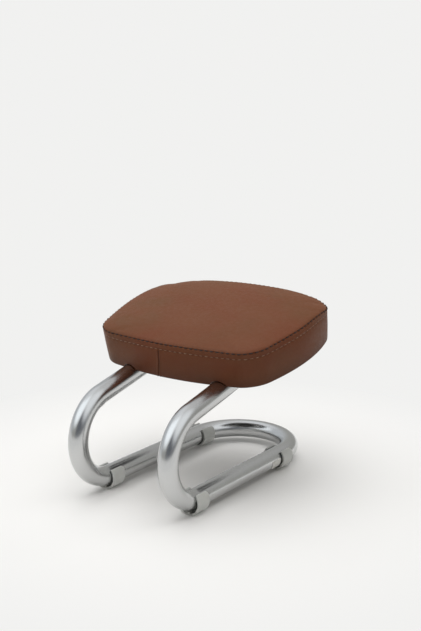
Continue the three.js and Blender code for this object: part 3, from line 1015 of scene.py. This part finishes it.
# air pressure swells the cover between its pinned seam and hem, and the rise is brought to the crown
def swell(cushion):
    look = cushionLook
    start = [vertex.co.copy() for vertex in cushion.data.vertices]
    pins = [value.value for value in cushion.data.attributes["held"].data]
    group = cushion.vertex_groups.new(name="pinned")
    for index, pin in enumerate(pins):
        if pin:
            group.add([index], pin, "REPLACE")
    cloth = cushion.modifiers.new("Cloth", "CLOTH")
    settings = cloth.settings
    settings.quality = look["quality"]
    settings.vertex_group_mass = group.name
    settings.use_pressure = True
    settings.uniform_pressure_force = look["pressure"]
    settings.effector_weights.gravity = 0
    cloth.point_cache.frame_start = 1
    cloth.point_cache.frame_end = look["frames"]
    for frameNumber in range(1, look["frames"] + 1):
        bpy.context.scene.frame_set(frameNumber)
    pick(cushion)
    bpy.ops.object.modifier_apply(modifier=cloth.name)
    bpy.context.scene.frame_set(1)
    cushion.vertex_groups.clear()
    moves = [vertex.co - before for vertex, before in zip(cushion.data.vertices, start)]
    rise = max(move.z for move in moves)
    wanted = (1 - look["startFill"]) * (look["crownHeight"] - look["rollHeight"])
    print("cover rose", round(rise * 1000, 2), "mm")
    for vertex, before, move in zip(cushion.data.vertices, start, moves):
        step = move * (wanted / rise)
        vertex.co = before + step * min(1.0, look["mostSwell"] / max(step.length, 1e-9))


# where each point lies round the cushion: how far along from the band's join, and the way out
class CoverMap:
    def __init__(self):
        steps, join = cushionLook["mapSteps"], cushionLook["joinPlace"]
        self.points = [seamPoint(8 * step / steps) for step in range(steps)]
        travelled = runningLengths(self.points + self.points[:1])
        self.perimeter = travelled[-1]
        nearest = min((step for step in range(steps) if self.points[step].y < 0),
                      key=lambda step: abs(self.points[step].x - join))
        self.along = [(travelled[step] - travelled[nearest]) % self.perimeter for step in range(steps)]
        self.tree = pointTree([point.to_3d() for point in self.points])
        self.pitch = self.perimeter / cushionLook["stitches"]

    def find(self, point):
        _, step, _ = self.tree.find((point.x, point.y, 0))
        tangent = self.points[(step + 1) % len(self.points)] - self.points[step - 1]
        tangent = Vector((tangent.x, tangent.y, 0)).normalized()
        offset = Vector((point.x - self.points[step].x, point.y - self.points[step].y, 0))
        along = (self.along[step] + offset.dot(tangent)) % self.perimeter
        outward = Vector((tangent.y, -tangent.x, 0))
        return along, offset.dot(outward), outward, tangent


coverMap = CoverMap()


def bell(distance, width):
    return math.exp(-(distance / width) ** 2)


# from nought to one as the distance goes past zero
def ease(distance, width):
    return 1 / (1 + math.exp(-distance / width))


# sewing: the seam's groove, the flat strip under it, both rows' puckers and the band's upright join, and a
# mask of painted shade for the sewn grooves, the hem and the underside
def sewCover(cushion):
    look = cushionLook
    top, second, narrow = look["bandHeight"], look["secondRow"], look["shadeLineWidth"]
    half = coverMap.perimeter / 2
    moved, paintedShades = [], []

    def groove(name, distance):
        depth, offset, width = look[name]
        return depth * bell(distance - offset, width)

    for vertex in cushion.data.vertices:
        point = vertex.co
        along, out, _, _ = coverMap.find(point)
        under = point.z < look["underside"]
        if out <= look["sewnReach"] or (under and out < look["hemReach"]):
            moved.append(point.copy())
            # painted shade: the cover's underside is darkened
            paintedShades.append(0.8 if under else 0.0)
            continue
        fromSeam = math.hypot(out, point.z - top) if point.z > top else point.z - top
        stitch = math.cos(2 * math.pi * along / coverMap.pitch)
        depth = groove("seam", fromSeam) + stitch * groove("seamPucker", abs(fromSeam))
        # painted shade in the seam's groove, darker at each stitch
        paintedShade = (0.3 - 0.25 * stitch) * bell(fromSeam, narrow)
        if fromSeam < 0:
            below = point.z - second
            depth -= look["stripDepth"] * ease(below - 0.0002, 0.0003) * ease(-fromSeam - 0.0008, 0.0002)
            depth += groove("row", below) - groove("ledge", fromSeam)
            depth += stitch * (groove("rowPucker", below) - groove("rowStitch", below))
            # the upright join leans over near the hem
            lean = max(0.0, 1 - point.z / look["joinBend"]) * (look["joinFoot"] - look["joinPlace"])
            beside = (along + half) % coverMap.perimeter - half - lean
            fade = ease(-below - 0.0012, 0.0005)
            depth += fade * (groove("join", beside) - groove("joinRidge", abs(beside)))
            # painted shade along the upright join and the second row, a dark painted line at the hem's
            # lower edge, and painted shade growing darker towards the band's foot
            paintedShade = max(paintedShade, 0.7 * fade * bell(beside, narrow), 0.35 * bell(below, narrow),
                         bell(max(0.0, point.z - look["hemShade"]), look["hemShade"]),
                         0.35 * bell(point.z, look["footShade"]))
        sway = noise.noise(point * 38) * look["sway"] + noise.noise(point * 95) * look["quickSway"]
        soft = min(1.0, abs(fromSeam) / look["swayReach"]) if point.z > look["swayAbove"] else 0.0
        moved.append(point - vertex.normal * depth + vertex.normal * sway * soft)
        paintedShades.append(paintedShade)
    attribute = cushion.data.attributes.new("paintedShade", "FLOAT", "POINT")
    for index, (vertex, point) in enumerate(zip(cushion.data.vertices, moved)):
        vertex.co = point
        attribute.data[index].value = paintedShades[index]


# the arms lie in slots that run in from the front of the seat
def cutArmSlots(piece, radius):
    start = -cushionLook["halfDepth"] - cushionLook["channelLead"]
    length = cushionLook["channelEnd"] - start
    for side in (-1, 1):
        cutWith(piece, barCutter(radius, length, 96, (
            side * halfFrame, start + length / 2, -armAxisDrop), True))


def makeLeather():
    look = cushionLook
    material, tree, shader = newMaterial("brownLeather")
    place = objectCoordinates(tree)
    mottle = useGroup(tree, mottleGroup, place, Size=22.0, Fineness=9.0)
    cloudy = useGroup(tree, mottleGroup, place, Size=8.0, Fineness=12.0)
    grain = useGroup(tree, grainGroup, place, Scale=850.0)
    # painted shade: the mask made in sewCover darkens the leather towards leatherDark in the sewn grooves,
    # along the hem and on the underside
    paintedShade = addNode(tree, "ShaderNodeAttribute", attribute_name="paintedShade").outputs["Fac"]
    colour = look["leather"]
    for factor, shade in (
            (remap(tree, cloudy["Slow"], 0.40, 0.60, 0.0, 1.0), look["leatherOlive"]),
            (spread(tree, mottle["Slow"], 0.0, 1.0), look["leatherPale"]),
            (scaled(tree, grain["Crease"], 0.14), look["leatherDark"]),
            (scaled(tree, paintedShade, 0.9), look["leatherDark"])):
        colour = mixColour(tree, factor, colour, shade)
    height = mathNode(tree, "ADD", grain["Height"], scaled(tree, mottle["Quick"], 0.8))
    paint(tree, shader, colour, spread(tree, mottle["Quick"], 0.42, 0.54),
          (height, 0.22, 0.0002), {"Specular IOR Level": 0.2})
    return material


def makeCushion():
    look = cushionLook
    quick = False
    cushion = makeCushionMesh(1.0 if quick else look["startFill"])
    if not quick:
        swell(cushion)
    cushion.data.attributes.remove(cushion.data.attributes["held"])
    addModifier(cushion, "SUBSURF", levels=2, render_levels=2)
    sewCover(cushion)
    for vertex in cushion.data.vertices:
        vertex.co.z -= droop(vertex.co)
    cutArmSlots(cushion, look["channelRadius"])
    smoothShade(cushion, 60)
    settle(cushion, seatMatrix)
    finishPiece(cushion, "seatCushion", makeLeather(), "leather",
                "cover_top_panel", "cover_side_band", "foam_pad")
    return cushion


seatCushion = makeCushion()
print("cushion done")


# stitches, one modelled for each row and copied along it

stitchLook = {
    "sides": 6,
    # steps along a stitch: share of its length, height and thickness in radii
    "steps": ((-0.5, -2.2, 0.6), (-0.44, -0.9, 0.85), (-0.34, 0.0, 1.0), (-0.14, 0.25, 1.05),
              (0.14, 0.25, 1.05), (0.34, 0.0, 1.0), (0.44, -0.9, 0.85), (0.5, -2.2, 0.6)),
    "seamLean": 0.35,
    "wobble": 0.04,
    "reach": 0.02,
    "seamRow": {"length": 0.0054, "radius": 0.00068, "sink": -0.0007},
    "bandRow": {"length": 0.0052, "radius": 0.0005, "sink": 0.0},
    # the seam row's thread is coloured near black, painted shade of the groove it lies in; the band row's
    # thread has the lit colour
    "seamThreadShaded": (0.028, 0.010, 0.007),
    "thread": (0.52, 0.36, 0.25),
}


def makeStitch(length, radius):
    share, height, size = stitchLook["steps"][0]
    stitch = startCircle(
        vertices=stitchLook["sides"], radius=radius * size, fill_type="NGON",
        location=(length * share, 0, radius * height), rotation=(0, math.pi / 2, 0))
    for nextShare, nextHeight, nextSize in stitchLook["steps"][1:]:
        extrudeBy((length * (nextShare - share), 0, radius * (nextHeight - height)))
        scale = nextSize / size
        bpy.ops.transform.resize(
            value=(1, scale, scale), center_override=(length * nextShare, 0, radius * nextHeight))
        share, height, size = nextShare, nextHeight, nextSize
    fixNormals(stitch)
    return stitch


def makeThreadMaterial(name, colour, shade):
    material, tree, shader = newMaterial(name)
    place = objectCoordinates(tree)
    twist = addNode(tree, "ShaderNodeTexWave", {"Vector": place, "Scale": 900, "Distortion": 1.5},
                    wave_type="BANDS", bands_direction="DIAGONAL").outputs["Fac"]
    mottle = useGroup(tree, mottleGroup, place, Size=180.0, Fineness=8.0)
    blend = mathNode(tree, "MULTIPLY", twist, mottle["Slow"])
    paint(tree, shader, mixColour(tree, blend, shade, colour), spread(tree, mottle["Quick"], 0.55, 0.7),
          (twist, 0.3, 0.0001))
    return material


def sewRow(name, height, lean, material, length, radius, sink):
    first = makeStitch(length, radius)
    intoSeat = seatMatrix.inverted()
    copies = []
    for number in range(cushionLook["stitches"]):
        along = (number + 0.5) * coverMap.pitch
        step = min(range(len(coverMap.points)), key=lambda index: abs(coverMap.along[index] - along))
        _, _, outward, tangent = coverMap.find(coverMap.points[step].to_3d())
        aim = (outward + Vector((0, 0, lean))).normalized()
        spot = coverMap.points[step].to_3d() + Vector((0, 0, height))
        spot.z -= droop(spot)
        hit, point, _, _ = seatCushion.ray_cast(
            seatMatrix @ (spot + aim * stitchLook["reach"]), (seatMatrix.to_3x3() @ -aim).normalized())
        if not hit:
            continue
        wobble = math.sin((number + 0.5) * 12.9898) * stitchLook["wobble"]
        side = tangent * math.cos(wobble) + Vector((0, 0, 1)) * math.sin(wobble)
        side = (side - aim * side.dot(aim)).normalized()
        turn = Matrix((side, aim.cross(side), aim)).transposed().to_4x4()
        copy = duplicate(first)
        settle(copy, seatMatrix @ Matrix.Translation(intoSeat @ point - aim * sink) @ turn)
        copies.append(copy)
    bpy.data.objects.remove(first)
    clearSelection()
    for copy in copies:
        copy.select_set(True)
    bpy.context.view_layer.objects.active = copies[0]
    bpy.ops.object.join()
    row = bpy.context.object
    smoothShade(row, 60)
    finishPiece(row, name, material, "leather")


# the seam row gets the near-black thread, its colour painted shade
sewRow("seamStitches", cushionLook["bandHeight"], stitchLook["seamLean"], makeThreadMaterial(
    "shadedSeamThread", stitchLook["seamThreadShaded"], cushionLook["leatherDark"]), **stitchLook["seamRow"])
sewRow("bandStitches", cushionLook["secondRow"], 0.0, makeThreadMaterial(
    "paleThread", stitchLook["thread"], cushionLook["leatherPale"]), **stitchLook["bandRow"])
print("stitches done")


# dust cloth under the seat

clothLook = {
    "inset": 0.0137,
    "top": -0.0004,
    "thickness": 0.0004,
    "slotRadius": 0.0136,
    "columns": 200,
    "rows": 26,
    "puff": 0.00022,
    "ripple": 40,
    "shades": ((0.012, 0.012, 0.013), (0.03, 0.03, 0.032)),
}


def makeClothMaterial():
    material, tree, shader = newMaterial("blackWovenCloth")
    place = objectCoordinates(tree)
    weave = useGroup(tree, weaveGroup, place, Yarns=5200.0)["Height"]
    mottle = useGroup(tree, mottleGroup, place, Size=40.0, Fineness=10.0)
    blend = mathNode(tree, "MULTIPLY", weave, mottle["Slow"])
    paint(tree, shader, mixColour(tree, blend, *clothLook["shades"]),
          spread(tree, mottle["Quick"], 0.8, 0.92), (weave, 0.4, 0.0002), {"Sheen Weight": 0.15})
    return material


def makeDustCloth():
    look = clothLook
    count, rows = look["columns"], look["rows"]
    outline = [outlinePoint(8 * step / count, look["inset"]) for step in range(count)]
    mesh = bmesh.new()
    middle = mesh.verts.new((0, 0, look["top"] - look["puff"]))
    rings = []
    for row in range(1, rows + 1):
        share = row / rows
        ring = []
        for x, y in outline:
            uneven = noise.noise(Vector((x * share * look["ripple"], y * share * look["ripple"], 3)))
            sag = look["puff"] * (1 - share ** 4) * (0.6 + 0.4 * uneven)
            ring.append(mesh.verts.new((x * share, y * share, look["top"] - sag)))
        rings.append(ring)
    for index in range(count):
        mesh.faces.new((middle, rings[0][(index + 1) % count], rings[0][index]))
    joinRings(mesh, rings)
    cloth = addMesh("dustCloth", mesh)
    fixNormals(cloth)
    addModifier(cloth, "SOLIDIFY", thickness=look["thickness"], offset=-1)
    fixNormals(cloth)
    cutArmSlots(cloth, look["slotRadius"])
    smoothShade(cloth, 40)
    settle(cloth, seatMatrix)
    finishPiece(cloth, "dustCloth", makeClothMaterial(), "cloth", "underside_cloth")


makeDustCloth()
print("dust cloth done")


# plywood board, the CAD solid with a plywood finish

boardLook = {
    "grain": (90, 9, 90),
    "shades": ((0.42, 0.28, 0.16), (0.60, 0.44, 0.27)),
    "roughness": (0.6, 0.75),
}


def makePlywood():
    material, tree, shader = newMaterial("birchPlywood")
    stretch = addNode(tree, "ShaderNodeMapping", {
        "Vector": objectCoordinates(tree), "Scale": boardLook["grain"]})
    wood = addNoise(tree, stretch.outputs["Vector"], 3, 5)["Fac"]
    paint(tree, shader, mixColour(tree, wood, *boardLook["shades"]),
          spread(tree, wood, *boardLook["roughness"]), (wood, 0.2, 0.0003))
    dress(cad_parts["seat_board"], material)


makePlywood()


# camera at the photograph's place

view = {
    "place": (0.81771, -1.13100, 0.52706),
    "target": (0.03533, -0.026, 0.2274),
    "lens": 62.59,
    "sensor": 36,
    "clipEnd": 100,
}


def makeCamera():
    data = bpy.data.cameras.new("benchCamera")
    data.lens = view["lens"]
    data.sensor_width = view["sensor"]
    data.sensor_fit = "AUTO"
    data.clip_end = view["clipEnd"]
    camera = addObject("benchCamera", data)
    camera.location = view["place"]
    aimAt(camera, view["target"])
    bpy.context.scene.camera = camera


makeCamera()


# plain floor, world and lamps

studio = {
    "floorSize": 40.0,
    "floorColour": (0.918, 0.912, 0.898),
    "floorRoughness": 0.6,
    "floorShine": 0.1,
    "backdrop": (0.880, 0.880, 0.870),
    "fadeFrom": 0.1,
    "fadeTo": 0.48,
    "skyLight": (0.135, 0.128, 0.112),
    # what metal sees: a plain room from the horizon to straight up, with soft patches of light and dark
    "mirrorRoom": ((0.0, (0.40, 0.40, 0.38)), (0.35, (0.43, 0.43, 0.41)), (0.6, (0.50, 0.50, 0.49)),
                   (0.85, (0.70, 0.70, 0.70)), (1.0, (0.85, 0.86, 0.87))),
    # azimuth from the front to the right, elevation, where the patch ends and is whole, all in degrees
    "mirrorPatches": (
        (-90, 12, 60, 10, (0.66, 0.69, 0.72)),
        (45, 6, 56, 30, (0.17, 0.18, 0.20)),
        (85, 48, 42, 14, (1.10, 1.13, 1.16)),
        (-35, 52, 42, 18, (1.45, 1.52, 1.58)),
        (-108, 60, 27, 9, (0.95, 0.97, 1.00)),
    ),
    # place, width and height, and watts
    "lamps": (
        ("topLamp", (-0.3, 0.05, 2.2), (3.8, 3.0), 80.0),
        ("leftLamp", (-3.2, -1.2, 1.1), (1.6, 1.6), 11.0),
        ("rightLamp", (1.8, 2.2, 1.1), (1.4, 1.4), 9.5),
    ),
    "lampTarget": (0, 0, 0.1),
}


# one for rays that come from the camera, a mirror or glass, and nought for soft light
def plainRays(tree):
    path = addNode(tree, "ShaderNodeLightPath").outputs
    shiny = mathNode(tree, "MAXIMUM", path["Is Glossy Ray"], path["Is Transmission Ray"])
    return path, mathNode(tree, "MAXIMUM", path["Is Camera Ray"], shiny)


def makeFloor():
    clearSelection()
    bpy.ops.mesh.primitive_plane_add(size=studio["floorSize"], location=(0, 0, 0))
    floor = bpy.context.object
    floor.name = "studioFloor"
    material, tree, shader = newMaterial("paleFloor")
    feed(tree, shader, {
        "Base Color": studio["floorColour"],
        "Roughness": studio["floorRoughness"],
        "Specular IOR Level": studio["floorShine"],
    })
    glow = addNode(tree, "ShaderNodeEmission", {"Color": studio["backdrop"]})
    away = addNode(tree, "ShaderNodeVectorMath", {0: objectCoordinates(tree)}, operation="LENGTH")
    far = remap(tree, away.outputs["Value"], studio["fadeFrom"], studio["fadeTo"], 0.0, 1.0)
    _, plain = plainRays(tree)
    share = mathNode(tree, "MULTIPLY", far, plain)
    blend = addNode(tree, "ShaderNodeMixShader", {
        "Fac": share, 1: shader.outputs["BSDF"], 2: glow.outputs["Emission"]})
    feed(tree, tree.nodes["Material Output"], {"Surface": blend.outputs["Shader"]})
    floor.data.materials.append(material)


def makeWorld():
    world = bpy.data.worlds.new("studioWorld")
    bpy.context.scene.world = world
    world.use_nodes = True
    tree = world.node_tree
    path, plain = plainRays(tree)
    look = addNode(tree, "ShaderNodeTexCoord").outputs["Generated"]
    split = addNode(tree, "ShaderNodeSeparateXYZ", {0: look})
    room = addNode(tree, "ShaderNodeValToRGB", {"Fac": split.outputs["Z"]})
    stops = room.color_ramp.elements
    while len(stops) < len(studio["mirrorRoom"]):
        stops.new(0.5)
    for stop, (place, colour) in zip(stops, studio["mirrorRoom"]):
        stop.position = place
        stop.color = (*colour, 1)
    mirror = room.outputs["Color"]
    for azimuth, elevation, outer, inner, colour in studio["mirrorPatches"]:
        aside, up = math.radians(azimuth), math.radians(elevation)
        toward = addNode(tree, "ShaderNodeVectorMath", {
            0: look, 1: (math.sin(aside) * math.cos(up), -math.cos(aside) * math.cos(up), math.sin(up)),
        }, operation="DOT_PRODUCT")
        share = addNode(tree, "ShaderNodeMapRange", {
            "Value": toward.outputs["Value"],
            "From Min": math.cos(math.radians(outer)),
            "From Max": math.cos(math.radians(inner)),
        }, interpolation_type="SMOOTHSTEP")
        mirror = mixColour(tree, share.outputs["Result"], mirror, colour)
    shown = mixColour(tree, path["Is Camera Ray"], mirror, studio["backdrop"])
    feed(tree, tree.nodes["Background"], {"Color": mixColour(tree, plain, studio["skyLight"], shown)})


def makeLamps():
    for name, place, (width, height), power in studio["lamps"]:
        data = bpy.data.lights.new(name, "AREA")
        data.shape = "RECTANGLE"
        data.size, data.size_y = width, height
        data.energy = power
        lamp = addObject(name, data)
        lamp.location = place
        aimAt(lamp, studio["lampTarget"])
        lamp.visible_glossy = False  # metal sees the world's soft patches instead


makeFloor()
makeWorld()
makeLamps()
bpy.context.scene.view_settings.view_transform = "Standard"
print("studio done")
